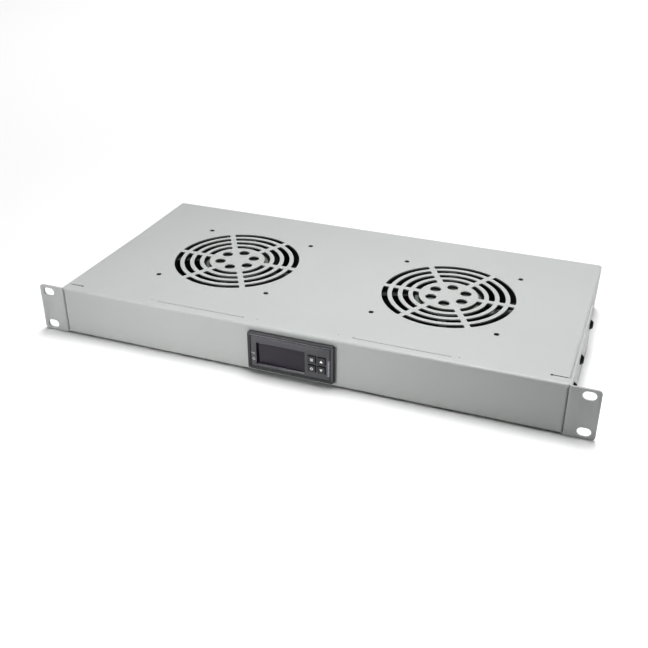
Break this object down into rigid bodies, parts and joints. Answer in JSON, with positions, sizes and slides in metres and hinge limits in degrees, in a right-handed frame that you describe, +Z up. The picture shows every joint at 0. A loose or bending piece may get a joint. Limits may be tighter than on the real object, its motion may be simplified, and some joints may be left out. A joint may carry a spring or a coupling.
{
  "type": "rack fan tray",
  "caption": "Low rack-mount tray with two axial fans under ring-slot grilles and a panel temperature controller in its front face.",
  "frame": {"origin": "middle of the four rack slots, on the rear faces of the two ears", "axes": "+X along the width of the rack, +Y into the rack, +Z up"},
  "size_m": [0.4826, 0.2312, 0.0439],
  "materials": {
    "painted_sheet": "fine-textured light grey powder coat",
    "black_steel": "black oxide",
    "zinc_steel": "bright zinc",
    "fan_casting": "black painted die casting",
    "rotor_plastic": "glass-filled, satin",
    "bearing_steel": "ground",
    "core_steel": "lamination stack",
    "winding": "enamelled copper wire",
    "motor_plate": "satin",
    "guard_wire": "nickel-plated wire",
    "controller_plastic": "fine spark texture",
    "lens": "clear tinted, display off",
    "display_plastic": "matt",
    "circuit_board": "solder mask",
    "switch_plastic": "satin",
    "button_plastic": "satin",
    "transformer": "potted",
    "relay_case": "gloss",
    "terminal_plastic": "satin",
    "clip_plastic": "satin",
    "gland_plastic": "nylon",
    "probe_steel": "drawn capsule"
  },
  "bodies": {
    "tray": {"tray_panel": "painted_sheet", "controller_case": "controller_plastic", "display_window": "lens", "display_module": "display_plastic", "front_board": "circuit_board", "button_switches": "switch_plastic", "main_board": "circuit_board", "mains_transformer": "transformer", "output_relays": "relay_case", "controller_back": "controller_plastic", "terminal_block": "terminal_plastic", "left_controller_clip": "clip_plastic", "right_controller_clip": "clip_plastic", "cable_gland": "gland_plastic", "gland_lock_nut": "gland_plastic", "temperature_probe": "probe_steel", "probe_clip": "gland_plastic", "probe_clip_screw": "zinc_steel", "probe_clip_nut": "zinc_steel", "left_rack_bracket": "painted_sheet", "left_bracket_screws": "black_steel", "left_bracket_nuts": "zinc_steel", "left_fan_frame": "fan_casting", "left_fan_bearings": "bearing_steel", "left_stator_core": "core_steel", "left_stator_coils": "winding", "left_motor_plate": "motor_plate", "left_finger_guard": "guard_wire", "left_fan_screws": "black_steel", "right_rack_bracket": "painted_sheet", "right_bracket_screws": "black_steel", "right_bracket_nuts": "zinc_steel", "right_fan_frame": "fan_casting", "right_fan_bearings": "bearing_steel", "right_stator_core": "core_steel", "right_stator_coils": "winding", "right_motor_plate": "motor_plate", "right_finger_guard": "guard_wire", "right_fan_screws": "black_steel"},
    "left_rotor": {"left_fan_rotor": "rotor_plastic", "left_fan_shaft": "bearing_steel", "left_shaft_clip": "bearing_steel", "left_rotor_cage": "core_steel"},
    "right_rotor": {"right_fan_rotor": "rotor_plastic", "right_fan_shaft": "bearing_steel", "right_shaft_clip": "bearing_steel", "right_rotor_cage": "core_steel"},
    "button_set": {"button_set": "button_plastic"},
    "button_up": {"button_up": "button_plastic"},
    "button_power": {"button_power": "button_plastic"},
    "button_down": {"button_down": "button_plastic"}
  },
  "joints": [
    {"name": "left_fan_spin", "type": "hinge", "parent": "tray", "child": "left_rotor", "pos_m": [-0.1003, 0.1056, 0], "axis": [0, 0, 1], "continuous": true},
    {"name": "right_fan_spin", "type": "hinge", "parent": "tray", "child": "right_rotor", "pos_m": [0.1003, 0.1056, 0], "axis": [0, 0, 1], "continuous": true},
    {"name": "button_set_press", "type": "slide", "parent": "tray", "child": "button_set", "axis": [0, 1, 0], "range_m": [0, 0.0005], "stiffness_N_per_m": 3000, "springref_m": -0.0002},
    {"name": "button_up_press", "type": "slide", "parent": "tray", "child": "button_up", "axis": [0, 1, 0], "range_m": [0, 0.0005], "stiffness_N_per_m": 3000, "springref_m": -0.0002},
    {"name": "button_power_press", "type": "slide", "parent": "tray", "child": "button_power", "axis": [0, 1, 0], "range_m": [0, 0.0005], "stiffness_N_per_m": 3000, "springref_m": -0.0002},
    {"name": "button_down_press", "type": "slide", "parent": "tray", "child": "button_down", "axis": [0, 1, 0], "range_m": [0, 0.0005], "stiffness_N_per_m": 3000, "springref_m": -0.0002}
  ]
}
